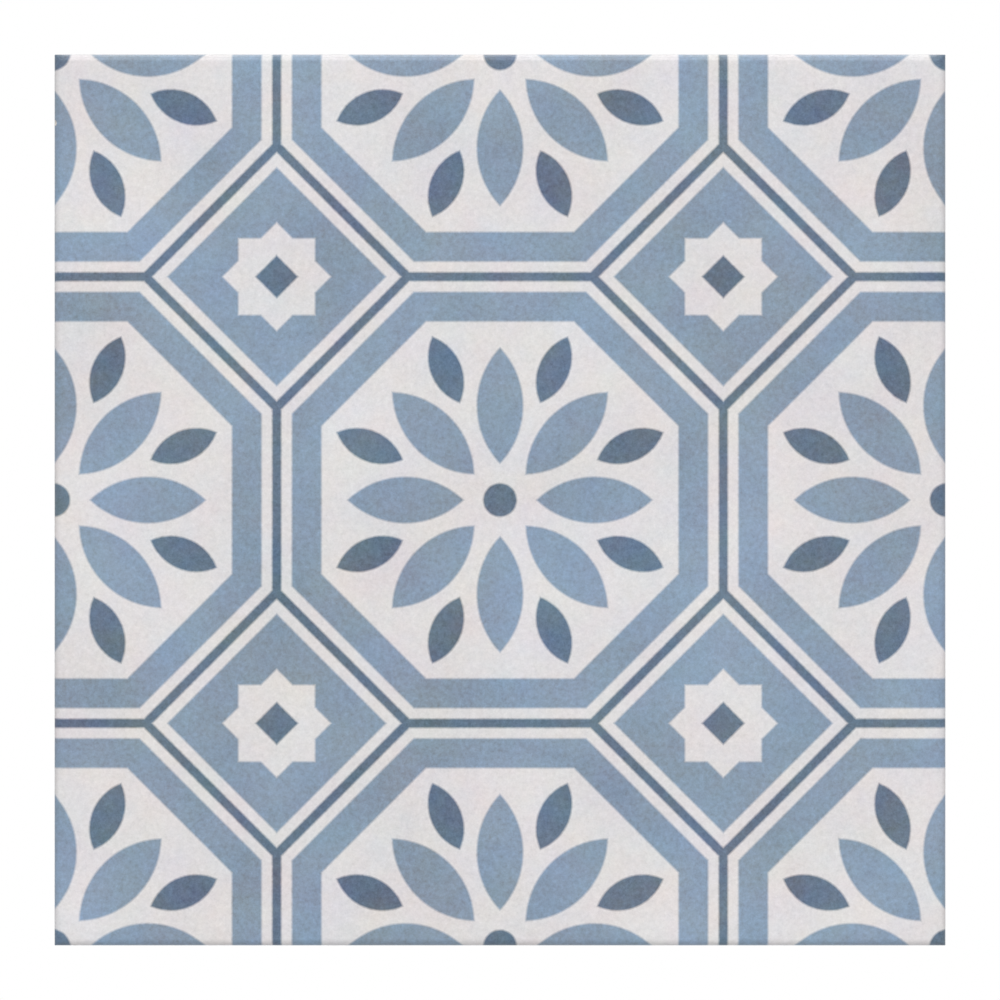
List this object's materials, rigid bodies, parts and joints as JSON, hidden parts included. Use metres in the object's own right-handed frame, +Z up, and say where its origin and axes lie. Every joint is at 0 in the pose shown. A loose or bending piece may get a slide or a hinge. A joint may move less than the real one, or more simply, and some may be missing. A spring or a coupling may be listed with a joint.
{
  "type": "patterned ceramic tile",
  "caption": "Flat square ceramic floor or wall tile with softly rounded face edges, a satin printed glaze in off-white and blues, and a ribbed back for bedding.",
  "frame": {"origin": "middle of the back, in the plane of its ribs", "axes": "+Z up through the glazed face, X and Y along the tile's sides, +Y towards the top of the print"},
  "size_m": [0.331, 0.331, 0.008],
  "materials": {
    "glazed_tile": "satin"
  },
  "bodies": {
    "root": {"tile": "glazed_tile"}
  },
  "joints": []
}
